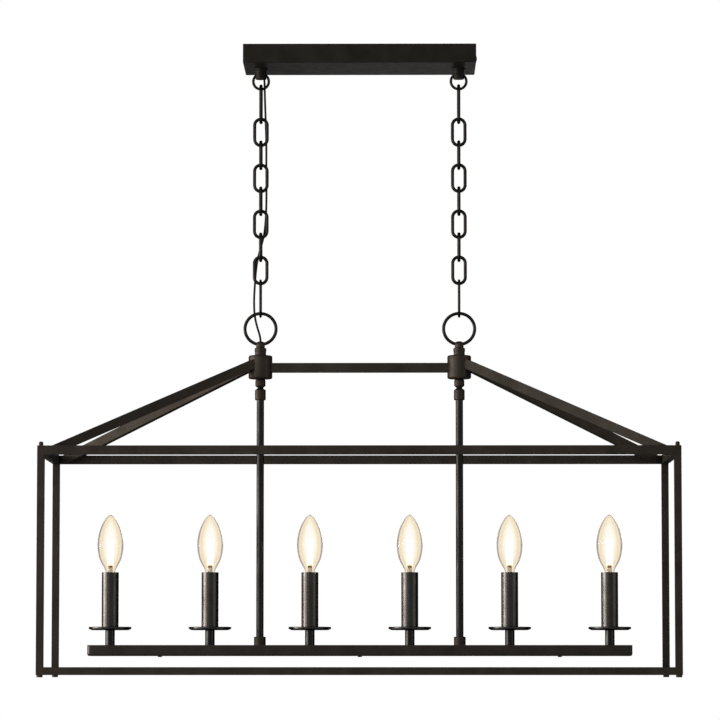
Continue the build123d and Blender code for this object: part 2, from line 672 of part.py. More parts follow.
with BuildPart() as corner_caps:
    with BuildSketch(Plane.XY.offset(FRAME_TOP)):
        with CORNERS:
            Circle(CAP_DIAMETER / 2)
    extrude(amount=CAP_HEIGHT)
    fillet(corner_caps.faces().group_by(Axis.Z)[-1].edges(), CAP_ROUND)
    with BuildSketch(Plane.XY.offset(FRAME_TOP)):
        with CORNERS:
            Circle(CAP_STUD / 2)
    extrude(amount=-CAP_STUD_LENGTH)
save(corner_caps.part, "corner_caps")

with BuildPart() as corner_feet:
    with BuildSketch(Plane.XY.offset(FRAME_BOTTOM)):
        with CORNERS:
            Circle(FOOT_DIAMETER / 2)
    extrude(amount=-FOOT_HEIGHT)
    fillet(corner_feet.faces().group_by(Axis.Z)[0].edges(), FOOT_ROUND)
    with BuildSketch(Plane.XY.offset(FRAME_BOTTOM)):
        with CORNERS:
            Circle(FOOT_SHANK / 2)
    extrude(amount=FOOT_SHANK_LENGTH)
save(corner_feet.part, "corner_feet")


# ---- Rods ----------------------------------------------------------------------------------------


def rod_coupling(x):
    """A turned bead, a waist and a round nut between the hub and the rod."""
    bead_foot = HUB_BOTTOM - COUPLING_BEAD_HEIGHT
    waist = bead_foot - COUPLING_CONE
    nut_top = waist - COUPLING_CONE
    socket_top = COUPLING_FOOT + ROD_SEAT
    socket = ROD_DIAMETER / 2 + SLIP
    bore = COUPLING_BORE / 2
    return turned(
        x,
        [
            (bore, HUB_BOTTOM + STUD_LENGTH), (STUD / 2, HUB_BOTTOM + STUD_LENGTH), (STUD / 2, HUB_BOTTOM),
            (COUPLING_BEAD / 2 - COUPLING_BEAD_EDGE, HUB_BOTTOM),
            (COUPLING_BEAD / 2, HUB_BOTTOM - 2 * COUPLING_BEAD_EDGE), (COUPLING_BEAD / 2, bead_foot),
            (COUPLING_NECK / 2, waist), (COUPLING_NUT / 2, nut_top),
            (COUPLING_NUT / 2, COUPLING_FOOT + TURNED_EDGE), (COUPLING_NUT / 2 - TURNED_EDGE, COUPLING_FOOT),
            (socket, COUPLING_FOOT), (socket, socket_top), (bore, socket_top),
        ],
    )


for side_name, side in SIDES.items():
    x = side * HANGER_X
    save(rod_coupling(x), f"{side_name}_rod_coupling")
    rod_outline = tube_outline(ROD_DIAMETER, ROD_BORE, THREAD_END, COUPLING_FOOT + ROD_SEAT)
    save(turned(x, rod_outline), f"{side_name}_rod")
    collar_bore = ROD_DIAMETER / 2 + SLIP
    collar_top = TRAY_TOP + ROD_COLLAR_HEIGHT
    save(
        turned(
            x,
            [
                (collar_bore, TRAY_TOP), (ROD_COLLAR / 2, TRAY_TOP),
                (ROD_COLLAR / 2, collar_top - TURNED_EDGE), (ROD_COLLAR / 2 - TURNED_EDGE, collar_top),
                (collar_bore, collar_top),
            ],
        ),
        f"{side_name}_rod_collar",
    )


# ---- Lamp tray -----------------------------------------------------------------------------------

ROD_PLACES = Locations((-HANGER_X, 0), (HANGER_X, 0))
COVER_SCREW_PLACES = GridLocations(2 * CANDLE_PITCH, 1, 3, 1)

SIDE_WALL_HEIGHT = TRAY_HEIGHT - TRAY_WALL
with BuildPart() as tray_top:
    with BuildSketch(Plane.XY.offset(TRAY_TOP)):
        RectangleRounded(TRAY_LENGTH, TRAY_WIDTH, TRAY_CORNER)
        with CANDLE_PLACES:
            Circle(STEM_THREAD / 2 + SLIP, mode=Mode.SUBTRACT)
        with ROD_PLACES:
            Circle(ROD_DIAMETER / 2 + SLIP, mode=Mode.SUBTRACT)
    extrude(amount=-TRAY_WALL)
save(tray_top.part, "tray_top")

for wall_name, back in (("tray_front_wall", -1), ("tray_rear_wall", 1)):
    with BuildPart() as tray_wall:
        with BuildSketch(Plane.XY.offset(COVER_TOP)):
            with Locations((0, back * (TRAY_WIDTH - TRAY_WALL) / 2)):
                Rectangle(TRAY_LENGTH - 2 * TRAY_CORNER, TRAY_WALL)
        extrude(amount=SIDE_WALL_HEIGHT)
    save(tray_wall.part, wall_name)

with BuildPart() as tray_ends:
    with BuildSketch(Plane.XY.offset(COVER_TOP)):
        RectangleRounded(TRAY_LENGTH, TRAY_WIDTH, TRAY_CORNER)
        RectangleRounded(
            TRAY_LENGTH - 2 * TRAY_WALL, TRAY_WIDTH - 2 * TRAY_WALL, TRAY_CORNER - TRAY_WALL,
            mode=Mode.SUBTRACT,
        )
        Rectangle(TRAY_LENGTH - 2 * TRAY_CORNER, TRAY_WIDTH, mode=Mode.SUBTRACT)
    extrude(amount=SIDE_WALL_HEIGHT)
save(tray_ends.part, "tray_ends")

with BuildPart() as tray_bosses:
    with BuildSketch(Plane.XY.offset(COVER_TOP)):
        with COVER_SCREW_PLACES:
            Circle(COVER_POST / 2)
            Circle(COVER_SCREW / 2 + SLIP, mode=Mode.SUBTRACT)
    extrude(amount=SIDE_WALL_HEIGHT)
save(tray_bosses.part, "tray_bosses")

with BuildPart() as tray_cover:
    with BuildSketch(Plane.XY.offset(TRAY_FOOT)):
        RectangleRounded(TRAY_LENGTH, TRAY_WIDTH, TRAY_CORNER)
    extrude(amount=COVER_HEIGHT)
    fillet(tray_cover.faces().sort_by(Axis.Z)[0].edges(), COVER_ROUND)
    with BuildSketch(Plane.XY.offset(TRAY_FOOT)):
        with COVER_SCREW_PLACES:
            Circle(COVER_SCREW / 2 + SLIP)
    extrude(amount=COVER_HEIGHT, mode=Mode.SUBTRACT)
save(tray_cover.part, "tray_cover")

with BuildPart() as tray_screws:
    with BuildSketch(Plane.XY.offset(TRAY_FOOT)):
        with COVER_SCREW_PLACES:
            Circle(COVER_SCREW_HEAD / 2)
    extrude(amount=-COVER_SCREW_HEAD_HEIGHT)
    fillet(tray_screws.faces().group_by(Axis.Z)[0].edges(), COVER_SCREW_HEAD_HEIGHT / 2)
    with BuildSketch(Plane.XY.offset(TRAY_FOOT)):
        with COVER_SCREW_PLACES:
            Circle(COVER_SCREW / 2)
    extrude(amount=COVER_SCREW_LENGTH)
save(tray_screws.part, "tray_screws")

NUT_FOOT = TRAY_TOP - TRAY_WALL - LOCKNUT_HEIGHT
candle_xs = [(place - (CANDLE_COUNT - 1) / 2) * CANDLE_PITCH for place in range(CANDLE_COUNT)]
nut_row = [hex_nut(x, NUT_FOOT, STEM_THREAD) for x in candle_xs]
nut_row += [hex_nut(side * HANGER_X, NUT_FOOT, ROD_DIAMETER) for side in SIDES.values()]
with BuildPart() as tray_locknuts:
    add(nut_row)
save(tray_locknuts.part, "tray_locknuts")

with BuildPart() as tray_wiring:
    wiring_start = (candle_xs[0], WIRING_OFFSET, COVER_TOP + WIRING_DIAMETER / 2)
    with BuildSketch(Plane(origin=wiring_start, z_dir=(1, 0, 0))):
        Circle(WIRING_DIAMETER / 2)
    extrude(amount=candle_xs[-1] - candle_xs[0])
save(tray_wiring.part, "tray_wiring")


# ---- Candles and bulbs ---------------------------------------------------------------------------

candle_stem = turned(
    0,
    [
        (STEM_BORE / 2, THREAD_END), (STEM_THREAD / 2, THREAD_END), (STEM_THREAD / 2, TRAY_TOP),
        (STEM_DIAMETER / 2, TRAY_TOP), (STEM_DIAMETER / 2, CUP_FLOOR), (STEM_THREAD / 2, CUP_FLOOR),
        (STEM_THREAD / 2, CUP_FLOOR + STEM_THREAD_RISE), (STEM_BORE / 2, CUP_FLOOR + STEM_THREAD_RISE),
    ],
)
with BuildPart() as candle_stems:
    with CANDLE_PLACES:
        add(candle_stem)
save(candle_stems.part, "candle_stems")

cup_radius = CUP_DIAMETER / 2
cup_bore = STEM_THREAD / 2 + SLIP
lip_inside = cup_radius - CUP_LIP
rim_top = CUP_FLOOR + CUP_HEIGHT
cup_blank = turned(
    0,
    [
        (cup_bore, CUP_FLOOR), (cup_radius - CUP_RIM_RUN, CUP_FLOOR), (cup_radius, CUP_FLOOR + CUP_RIM_RISE),
        (cup_radius, rim_top), (lip_inside, rim_top), (lip_inside, SLEEVE_FOOT + CUP_RIM_RISE),
        (lip_inside - CUP_RIM_RUN, SLEEVE_FOOT), (cup_bore, SLEEVE_FOOT),
    ],
)
with BuildPart() as drip_cup:
    add(cup_blank)
    outer_wall = drip_cup.faces().filter_by(GeomType.CYLINDER).sort_by(SortBy.AREA)[-1]
    fillet(outer_wall.edges().filter_by(GeomType.CIRCLE), CUP_LIP_ROUND)
with BuildPart() as drip_cups:
    with CANDLE_PLACES:
        add(drip_cup.part)
save(drip_cups.part, "drip_cups")

candle_sleeve = turned(
    0, tube_outline(SLEEVE_DIAMETER, SLEEVE_DIAMETER - 2 * SLEEVE_WALL, SLEEVE_FOOT, SLEEVE_TOP)
)
with BuildPart() as candle_sleeves:
    with CANDLE_PLACES:
        add(candle_sleeve)
save(candle_sleeves.part, "candle_sleeves")

HOLDER_FOOT = CUP_FLOOR + STEM_THREAD_RISE - HOLDER_FOOT_HEIGHT
lamp_holder = turned(
    0,
    [
        (cup_bore, HOLDER_FOOT), (HOLDER_DIAMETER / 2, HOLDER_FOOT), (HOLDER_DIAMETER / 2, HOLDER_TOP),
        (HOLDER_BORE / 2, HOLDER_TOP), (HOLDER_BORE / 2, BULB_SEAT), (0, BULB_SEAT),
        (0, HOLDER_FOOT + HOLDER_FOOT_HEIGHT), (cup_bore, HOLDER_FOOT + HOLDER_FOOT_HEIGHT),
    ],
)
with BuildPart() as lamp_holders:
    with CANDLE_PLACES:
        add(lamp_holder)
save(lamp_holders.part, "lamp_holders")

BASE_FOOT = BULB_SEAT + BASE_CONTACT_HEIGHT
BASE_RIM_FOOT = GLASS_FOOT - BASE_RIM_HEIGHT
bulb_base = turned(
    0,
    [
        (0, BULB_SEAT), (BASE_CONTACT / 2, BULB_SEAT), (BASE_CONTACT / 2, BASE_FOOT),
        (BASE_DIAMETER / 2, GLASS_FOOT - BASE_SHELL_HEIGHT), (BASE_DIAMETER / 2, BASE_RIM_FOOT),
        (BULB_NECK / 2, BASE_RIM_FOOT), (BULB_NECK / 2, GLASS_FOOT), (0, GLASS_FOOT),
    ],
)
with BuildPart() as bulb_bases:
    with CANDLE_PLACES:
        add(bulb_base)
save(bulb_bases.part, "bulb_bases")

# The glass at falling heights: its radius and its height, as shares of the bulb's
FLAME_OUTLINE = (
    (0.24, 0.969), (0.475, 0.902), (0.69, 0.817), (0.835, 0.732), (0.945, 0.630), (1.00, 0.503),
    (0.955, 0.375), (0.85, 0.273), (0.72, 0.205), (0.54, 0.138),
)


def flame(x, inset):
    """The bulb's flame shape as one closed solid, taken in by inset."""
    neck = BULB_NECK / 2 - inset
    tip = (0, GLASS_FOOT + BULB_HEIGHT - inset)
    outline = [
        (share * BULB_DIAMETER / 2 - inset, GLASS_FOOT + level * BULB_HEIGHT)
        for share, level in FLAME_OUTLINE
    ]
    neck_top = (neck, GLASS_FOOT + GLASS_NECK_HEIGHT)
    with BuildPart() as shape:
        with BuildSketch(loop_plane(x, 0, "x")):
            with BuildLine():
                Spline(tip, *outline, neck_top)
                Polyline(neck_top, (neck, GLASS_FOOT), (0, GLASS_FOOT), tip)
            make_face()
        revolve(axis=Axis((x, 0, 0), (0, 0, 1)))
    return shape.part


def filament_mount(x):
    """The glass stem inside a bulb, with its wires, two small discs and the filaments between them."""
    stem_top = GLASS_FOOT + MOUNT_HEIGHT
    upper = stem_top + FILAMENT_LENGTH
    with BuildPart() as mount:
        with BuildSketch(Plane.XY.offset(GLASS_FOOT)):
            with Locations((x, 0)):
                Circle(MOUNT_FOOT / 2)
        with BuildSketch(Plane.XY.offset(stem_top)):
            with Locations((x, 0)):
                Circle(MOUNT_TOP / 2)
        loft()
        with BuildSketch(Plane.XY.offset(stem_top)):
            with Locations((x, 0)):
                Circle(MOUNT_WIRE / 2)
        extrude(amount=FILAMENT_LENGTH)
        with BuildSketch(Plane.XY.offset(stem_top), Plane.XY.offset(upper)):
            with Locations((x, 0)):
                Circle(FILAMENT_DISC / 2)
        extrude(amount=FILAMENT_DISC_HEIGHT)
        with BuildSketch(Plane.XY.offset(stem_top)):
            with Locations((x, 0)):
                with PolarLocations(FILAMENT_SPREAD / 2, FILAMENT_COUNT, start_angle=45):
                    Circle(FILAMENT_DIAMETER / 2)
        extrude(amount=FILAMENT_LENGTH)
    return mount.part


for number, x in enumerate(candle_xs, start=1):
    inside = flame(x, GLASS_WALL)
    with BuildPart() as glass:
        add(flame(x, 0.0))
        add(inside, mode=Mode.SUBTRACT)
    save(glass.part, f"bulb_{number}_glass")

mount_row = [filament_mount(x) for x in candle_xs]
with BuildPart() as bulb_filaments:
    add(mount_row)
save(bulb_filaments.part, "bulb_filaments")


# ---- Power cord ----------------------------------------------------------------------------------

# Offset to the right of the left chain, offset to the back, and height
CORD_ROUTE = (
    (4.4, 2.6, -36.9), (4.4, 2.6, -41.0), (4.7, 3.4, -46.5), (4.9, 4.3, -54.0), (5.2, 4.5, -67.0),
    (6.1, 4.3, -92.0), (7.3, 4.4, -130.0), (7.2, 4.2, -161.0), (7.6, 4.3, -194.0), (7.2, 4.2, -221.0),
    (5.9, 4.1, -241.0), (3.7, 3.9, -256.5), (-3.4, 3.9, -281.0), (-6.1, 4.1, -296.0), (-7.9, 4.5, -318.0),
    (-9.2, 4.7, -341.0), (-8.5, 5.0, -361.0), (-5.2, 5.2, -376.0), (-1.6, 4.8, -387.0), (0.0, 4.35, -394.8),
    (0.0, 4.35, -400.8),
)


def corner_radii(points):
    """The largest arc that each corner's two runs leave room for."""
    radii = []
    for before, corner, after in zip(points, points[1:], points[2:]):
        run_in = Vector(corner) - Vector(before)
        run_out = Vector(after) - Vector(corner)
        turn = math.radians(run_in.get_angle(run_out))
        radii.append(CORD_ARC_SHARE * min(run_in.length, run_out.length) / math.tan(turn / 2))
    return radii


cord_points = [(right - HANGER_X, back, height) for right, back, height in CORD_ROUTE]
cord_radii = corner_radii(cord_points)
print("cord radii:", [round(radius, 1) for radius in cord_radii])
with BuildPart() as power_cord:
    with BuildLine() as cord_line:
        FilletPolyline(*cord_points, radius=cord_radii)
    with BuildSketch(Plane(origin=cord_points[0], z_dir=(0, 0, -1))):
        Circle(CORD_DIAMETER / 2)
    sweep(path=cord_line.wires()[0])
cord_length = cord_line.wires()[0].length
tube_share = power_cord.part.volume / (math.pi * (CORD_DIAMETER / 2) ** 2 * cord_length)
print("cord length:", round(cord_length, 1), "volume against a plain tube:", round(tube_share, 4))
save(power_cord.part, "power_cord")
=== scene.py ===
"""Looks of the linear island pendant: finishes, glowing bulbs, the power cord, light and camera. Metres, +Z up."""

import json
import math

import bmesh
import bpy
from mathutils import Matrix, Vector


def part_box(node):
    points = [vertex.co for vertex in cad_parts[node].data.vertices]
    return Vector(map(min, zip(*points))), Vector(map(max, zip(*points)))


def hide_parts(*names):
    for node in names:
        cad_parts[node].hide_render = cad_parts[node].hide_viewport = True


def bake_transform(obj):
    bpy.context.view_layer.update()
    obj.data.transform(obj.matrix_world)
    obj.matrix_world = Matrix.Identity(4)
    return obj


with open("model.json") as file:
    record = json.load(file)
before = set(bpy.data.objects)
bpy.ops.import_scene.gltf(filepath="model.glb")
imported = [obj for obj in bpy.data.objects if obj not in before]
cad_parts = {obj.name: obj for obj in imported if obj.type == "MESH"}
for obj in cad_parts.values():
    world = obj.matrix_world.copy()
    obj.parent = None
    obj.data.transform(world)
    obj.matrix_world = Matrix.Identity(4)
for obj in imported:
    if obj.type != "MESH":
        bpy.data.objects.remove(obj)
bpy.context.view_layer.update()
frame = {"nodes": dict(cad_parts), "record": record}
scene = bpy.context.scene

# Camera: where the photograph was taken from
CAMERA_PLACE = Vector((0.0387, -5.124, -0.8438))
CAMERA_UP_TILT = math.radians(4.70)
CAMERA_LEFT_TURN = math.radians(0.43)
CAMERA_LENS = 190.35    # millimetres
CAMERA_SENSOR = 36.0    # millimetres
CAMERA_REACH = 100.0

# Backdrop and floor
FLOOR_HEIGHT = -1.9
FLOOR_SIZE = 14.0
FLOOR_TONES = ((0.80, 0.80, 0.80), (0.84, 0.84, 0.84))
FLOOR_WAVES = 3.0
FLOOR_ROUGHNESS = 0.8
BACKDROP_WHITE = 1.0
SOFT_LIGHT = 0.45

# Lamps, which all face the lantern's middle: place, width, height, watts, and spread in degrees
MIDDLE = (0.0, 0.0, -0.5)
LAMPS = {
    "left_key": ((-3.2, 0.0, -0.5), 2.6, 0.6, 78.0, 90.0),
    "left_fill": ((-2.9, -1.9, -0.4), 1.4, 1.0, 14.0, 90.0),
    "front_left": ((-1.6, -3.2, 0.4), 1.4, 1.6, 11.0, 90.0),
    "right_fill": ((3.0, -1.4, -0.3), 2.0, 1.2, 4.0, 90.0),
    "back_fill": ((0.8, 3.4, 0.2), 2.0, 1.4, 8.0, 90.0),
    "top_softbox": ((0.0, 0.4, 2.0), 3.0, 1.6, 7.0, 180.0),
}

# Power cord, beside the left chain
CORD_DIAMETER = 0.0029
CORD_SIDES = 14
CORD_CURVE_STEPS = 8
LEFT_CHAIN_X = -0.1342
# Offset to the right of the left chain, offset to the back, and height, as in the CAD route
CORD_ROUTE = (
    (0.0044, 0.0026, -0.0369), (0.0044, 0.0026, -0.0410), (0.0047, 0.0034, -0.0465),
    (0.0049, 0.0043, -0.0540), (0.0052, 0.0045, -0.0670), (0.0061, 0.0043, -0.0920),
    (0.0073, 0.0044, -0.1300), (0.0072, 0.0042, -0.1610), (0.0076, 0.0043, -0.1940),
    (0.0072, 0.0042, -0.2210), (0.0059, 0.0041, -0.2410), (0.0037, 0.0039, -0.2565),
    (-0.0034, 0.0039, -0.2810), (-0.0061, 0.0041, -0.2960), (-0.0079, 0.0045, -0.3180),
    (-0.0092, 0.0047, -0.3410), (-0.0085, 0.0050, -0.3610), (-0.0052, 0.0052, -0.3760),
    (-0.0016, 0.0048, -0.3870), (0.0000, 0.00435, -0.3948), (0.0000, 0.00435, -0.4008),
)
# Each stretch of cord: its lower end, the two bodies it runs between, and the heights where it bends
CORD_STRETCHES = (
    ("cord_at_canopy", -0.076, "canopy", "left_top_link", -0.042, -0.066),
    ("cord_on_chain", -0.336, "left_top_link", "left_chain", -0.084, -0.114),
    ("cord_at_ring", -0.3685, "left_chain", "left_ring", -0.352, -0.367),
    ("cord_at_hub", -0.4008, "left_ring", "cage", -0.386, -0.3985),
)

# Dark coats: darkest and lightest tone, roughness, share of metal, lightness where a face turns away, relief
BLACK = (0.0165, 0.0136, 0.0110)
BROWN_BLACK = (0.0235, 0.0196, 0.0160)
DARK_COATS = {
    "satin_coat": (BLACK, BROWN_BLACK, 0.48, 0.6, 0.04, 0.2),
    "canopy_coat": ((0.0095, 0.0084, 0.0068), (0.0140, 0.0124, 0.0103), 0.48, 0.6, 0.40, 0.2),
    "smooth_coat": ((0.0195, 0.0176, 0.0158), (0.0265, 0.0242, 0.0220), 0.27, 1.0, 0.0, 0.01),
    "stem_coat": ((0.0085, 0.0080, 0.0074), (0.0115, 0.0108, 0.0100), 0.17, 1.0, 0.0, 0.01),
    "chain_coat": ((0.0095, 0.0086, 0.0078), (0.0140, 0.0126, 0.0115), 0.36, 1.0, 0.0, 0.1),
    "tray_coat": ((0.0160, 0.0138, 0.0118), (0.0225, 0.0194, 0.0168), 0.36, 0.8, 0.25, 0.2),
    "matte_coat": (BLACK, BROWN_BLACK, 0.7, 0.0, 0.0, 0.2),
}

# Waves in a metre, and depths of relief
COAT_TONE_WAVES = 38.0
COAT_SHEEN_WAVES = 90.0
COAT_GRAIN = 1300.0
COAT_RELIEF = 0.00005
BRUSH_WAVES = (30.0, 1600.0, 1600.0)
BRUSH_RELIEF = 0.00004
PLASTIC_TONE_WAVES = 60.0
PLASTIC_GRAIN = 1400.0
PLASTIC_RELIEF = 0.00005
GLASS_WAVES = 60.0
GLASS_RELIEF = 0.0003
STEM_GRAIN = 500.0

# Bulb glass: how far the surface is turned away, and its colour there: the glass's own amber tint, and in the last
# stops painted shade that darkens the outline
GLASS_TINT_AND_OUTLINE_SHADE = (
    (0.05, (0.998, 0.985, 0.95)), (0.14, (0.975, 0.935, 0.83)), (0.27, (0.93, 0.845, 0.68)),
    (0.42, (0.97, 0.93, 0.865)), (0.56, (0.66, 0.60, 0.54)), (0.74, (0.28, 0.25, 0.22)),
    (1.0, (0.20, 0.17, 0.15)),
)
GLASS_IOR = 1.08
GLASS_WAVER = 0.02      # how far the slow waves shift those stops, each way

# Inside a bulb: the glass stem, its brown top and the glow above it
STEM_RISE = 0.012       # the stem's top above the foot of the bulb's inside
BROWN_BAND = 0.004
GLOW_BAND = 0.003       # the height over which the glow sets in
STEM_COLOUR = (0.80, 0.68, 0.60)
BROWN_COLOUR = (0.17, 0.105, 0.07)
FILAMENT_COLOUR = (1.0, 0.86, 0.60)
GLOW_COLOUR = (1.0, 0.80, 0.48, 1.0)
GLOW_STRENGTH = 6.0

# Sockets of a mix node for colours, whose names are shared between its data types
MIX_FACTOR, MIX_FIRST, MIX_SECOND, MIX_RESULT = 0, 6, 7, 2


# ---- Materials -------------------------------------------------------------------------------------


def new_material(name):
    """A material with its nodes, its links and its Principled shader."""
    material = bpy.data.materials.new(name)
    material.use_nodes = True
    tree = material.node_tree
    return material, tree.nodes, tree.links, tree.nodes["Principled BSDF"]


def object_noise(nodes, links, scale, detail=3.0, roughness=0.55):
    """Noise fixed to the object, with scale as its number of waves in a metre."""
    place = nodes.new("ShaderNodeTexCoord")
    noise = nodes.new("ShaderNodeTexNoise")
    noise.inputs["Scale"].default_value = scale
    noise.inputs["Detail"].default_value = detail
    noise.inputs["Roughness"].default_value = roughness
    links.new(place.outputs["Object"], noise.inputs["Vector"])
    return noise.outputs["Fac"]


def map_range(nodes, links, value, start, end, low=0.0, high=1.0):
    """Low where the value is below the start, high where it is above the end."""
    ranged = nodes.new("ShaderNodeMapRange")
    ranged.inputs["From Min"].default_value = start
    ranged.inputs["From Max"].default_value = end
    ranged.inputs["To Min"].default_value = low
    ranged.inputs["To Max"].default_value = high
    links.new(value, ranged.inputs["Value"])
    return ranged.outputs["Result"]


def spread(nodes, links, factor, low, high):
    """The factor's middle range, stretched to low...high."""
    return map_range(nodes, links, factor, 0.3, 0.7, low, high)


def blend_colours(nodes, links, factor, first, second):
    """A colour between two, by a factor; the first may also be another node's output."""
    mix = nodes.new("ShaderNodeMix")
    mix.data_type = "RGBA"
    if isinstance(first, tuple):
        mix.inputs[MIX_FIRST].default_value = (*first, 1.0)
    else:
        links.new(first, mix.inputs[MIX_FIRST])
    mix.inputs[MIX_SECOND].default_value = (*second, 1.0)
    links.new(factor, mix.inputs[MIX_FACTOR])
    return mix.outputs[MIX_RESULT]


def add_bump(nodes, links, shader, height, strength, distance):
    """A surface relief from a height factor; distance is in metres."""
    bump = nodes.new("ShaderNodeBump")
    bump.inputs["Strength"].default_value = strength
    bump.inputs["Distance"].default_value = distance
    links.new(height, bump.inputs["Height"])
    links.new(bump.outputs["Normal"], shader.inputs["Normal"])


def dark_coat(name, dark, light, roughness, metal, edge, relief):
    """A blackened coat, dull or smooth; edge is how light it is where it turns away."""
    material, nodes, links, shader = new_material(name)
    tone = spread(nodes, links, object_noise(nodes, links, COAT_TONE_WAVES), 0.0, 1.0)
    links.new(blend_colours(nodes, links, tone, dark, light), shader.inputs["Base Color"])
    sheen = object_noise(nodes, links, COAT_SHEEN_WAVES, 4.0)
    links.new(spread(nodes, links, sheen, roughness - 0.04, roughness + 0.04), shader.inputs["Roughness"])
    shader.inputs["Metallic"].default_value = metal
    shader.inputs["Specular IOR Level"].default_value = 0.0
    shader.inputs["Specular Tint"].default_value = (edge, edge, edge, 1.0)
    add_bump(nodes, links, shader, object_noise(nodes, links, COAT_GRAIN, 2.0), relief, COAT_RELIEF)
    return material


def brushed_metal(name, dark, light, roughness):
    """Plated metal with fine lines along X."""
    material, nodes, links, shader = new_material(name)
    place = nodes.new("ShaderNodeTexCoord")
    stretch = nodes.new("ShaderNodeMapping")
    stretch.inputs["Scale"].default_value = BRUSH_WAVES
    noise = nodes.new("ShaderNodeTexNoise")
    noise.inputs["Scale"].default_value = 1.0
    noise.inputs["Detail"].default_value = 3.0
    links.new(place.outputs["Object"], stretch.inputs["Vector"])
    links.new(stretch.outputs["Vector"], noise.inputs["Vector"])
    lines = noise.outputs["Fac"]
    tone = spread(nodes, links, lines, 0.0, 1.0)
    links.new(blend_colours(nodes, links, tone, dark, light), shader.inputs["Base Color"])
    links.new(spread(nodes, links, lines, roughness - 0.06, roughness + 0.08), shader.inputs["Roughness"])
    shader.inputs["Metallic"].default_value = 1.0
    add_bump(nodes, links, shader, lines, 0.2, BRUSH_RELIEF)
    return material


def moulded_plastic(name, dark, light, roughness, gloss=0.5):
    """Plastic with a faint moulded texture."""
    material, nodes, links, shader = new_material(name)
    tone = spread(nodes, links, object_noise(nodes, links, PLASTIC_TONE_WAVES), 0.0, 1.0)
    links.new(blend_colours(nodes, links, tone, dark, light), shader.inputs["Base Color"])
    fine = object_noise(nodes, links, PLASTIC_GRAIN, 2.0)
    links.new(spread(nodes, links, fine, roughness - 0.04, roughness + 0.06), shader.inputs["Roughness"])
    shader.inputs["Specular IOR Level"].default_value = gloss
    add_bump(nodes, links, shader, fine, 0.15, PLASTIC_RELIEF)
    return material


def bulb_glass(name):
    """Thin glass, clear in the middle and amber further out, with painted shade that makes it darkest at its
    outline.
    """
    material, nodes, links, shader = new_material(name)
    edge = nodes.new("ShaderNodeLayerWeight")
    edge.inputs["Blend"].default_value = 0.5
    waves = object_noise(nodes, links, GLASS_WAVES, 1.0)
    shifted = nodes.new("ShaderNodeMath")
    shifted.operation = "ADD"
    links.new(edge.outputs["Facing"], shifted.inputs[0])
    links.new(spread(nodes, links, waves, -GLASS_WAVER, GLASS_WAVER), shifted.inputs[1])
    # Colour by how far the surface turns away: amber tint, and painted shade at the outline
    ramp = nodes.new("ShaderNodeValToRGB")
    stops = ramp.color_ramp.elements
    for index in (0, -1):
        position, colour = GLASS_TINT_AND_OUTLINE_SHADE[index]
        stops[index].position = position
        stops[index].color = (*colour, 1.0)
    for position, colour in GLASS_TINT_AND_OUTLINE_SHADE[1:-1]:
        stops.new(position).color = (*colour, 1.0)
    links.new(shifted.outputs["Value"], ramp.inputs["Fac"])
    links.new(ramp.outputs["Color"], shader.inputs["Base Color"])
    shader.inputs["Roughness"].default_value = 0.0
    shader.inputs["Transmission Weight"].default_value = 1.0
    shader.inputs["IOR"].default_value = GLASS_IOR
    add_bump(nodes, links, shader, waves, 0.05, GLASS_RELIEF)
    return material


def bulb_inside(name, stem_top):
    """The bulb's glass stem with its brown top, and above it the glowing filaments."""
    material, nodes, links, shader = new_material(name)
    place = nodes.new("ShaderNodeTexCoord")
    split = nodes.new("ShaderNodeSeparateXYZ")
    links.new(place.outputs["Object"], split.inputs["Vector"])
    height = split.outputs["Z"]
    browning = map_range(nodes, links, height, stem_top - BROWN_BAND, stem_top - BROWN_BAND / 2)
    glow = map_range(nodes, links, height, stem_top, stem_top + GLOW_BAND)
    stem = blend_colours(nodes, links, browning, STEM_COLOUR, BROWN_COLOUR)
    links.new(blend_colours(nodes, links, glow, stem, FILAMENT_COLOUR), shader.inputs["Base Color"])
    strength = nodes.new("ShaderNodeMath")
    strength.operation = "MULTIPLY"
    strength.inputs[1].default_value = GLOW_STRENGTH
    links.new(glow, strength.inputs[0])
    links.new(strength.outputs["Value"], shader.inputs["Emission Strength"])
    shader.inputs["Emission Color"].default_value = GLOW_COLOUR
    fine = object_noise(nodes, links, STEM_GRAIN)
    links.new(spread(nodes, links, fine, 0.25, 0.40), shader.inputs["Roughness"])
    return material


coats = {name: dark_coat(name, *values) for name, values in DARK_COATS.items()}
cord_plastic = moulded_plastic("cord_plastic", (0.006, 0.0055, 0.005), (0.011, 0.010, 0.009), 0.6, 0.05)

SLOT_MATERIALS = {
    "canopy_coat": coats["canopy_coat"],
    "chain_coat": coats["chain_coat"],
    "cage_coat": coats["satin_coat"],
    "hub_coat": coats["satin_coat"],
    "tray_coat": coats["tray_coat"],
    "candle_coat": coats["smooth_coat"],
    "plated_steel": brushed_metal("zinc_plate", (0.36, 0.36, 0.35), (0.48, 0.48, 0.47), 0.42),
    "bulb_glass": bulb_glass("bulb_glass"),
    "bulb_stem": bulb_inside("bulb_filament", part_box("bulb_filaments")[0].z + STEM_RISE),
    "bulb_base": brushed_metal("bulb_base_metal", (0.66, 0.63, 0.56), (0.80, 0.77, 0.70), 0.25),
    "lamp_holder": moulded_plastic("holder_plastic", (0.016, 0.016, 0.016), (0.026, 0.026, 0.025), 0.5),
    "wire_nut": moulded_plastic("wire_nut_plastic", (0.55, 0.16, 0.02), (0.68, 0.22, 0.04), 0.35),
    "cord_jacket": cord_plastic,
    "wire_jacket": moulded_plastic("wire_plastic", (0.62, 0.62, 0.59), (0.75, 0.75, 0.71), 0.42),
}

# Nodes that don't look like the rest of their slot
NODE_MATERIALS = {
    "ground_screw": brushed_metal("green_ground_screw", (0.04, 0.22, 0.07), (0.07, 0.32, 0.11), 0.34),
    "candle_stems": coats["stem_coat"],
    "tray_top": coats["matte_coat"],
    # The rods take the darker chain coat instead of the sleeves' coat: painted shade that dims their highlights
    "left_rod": coats["chain_coat"],
    "right_rod": coats["chain_coat"],
}

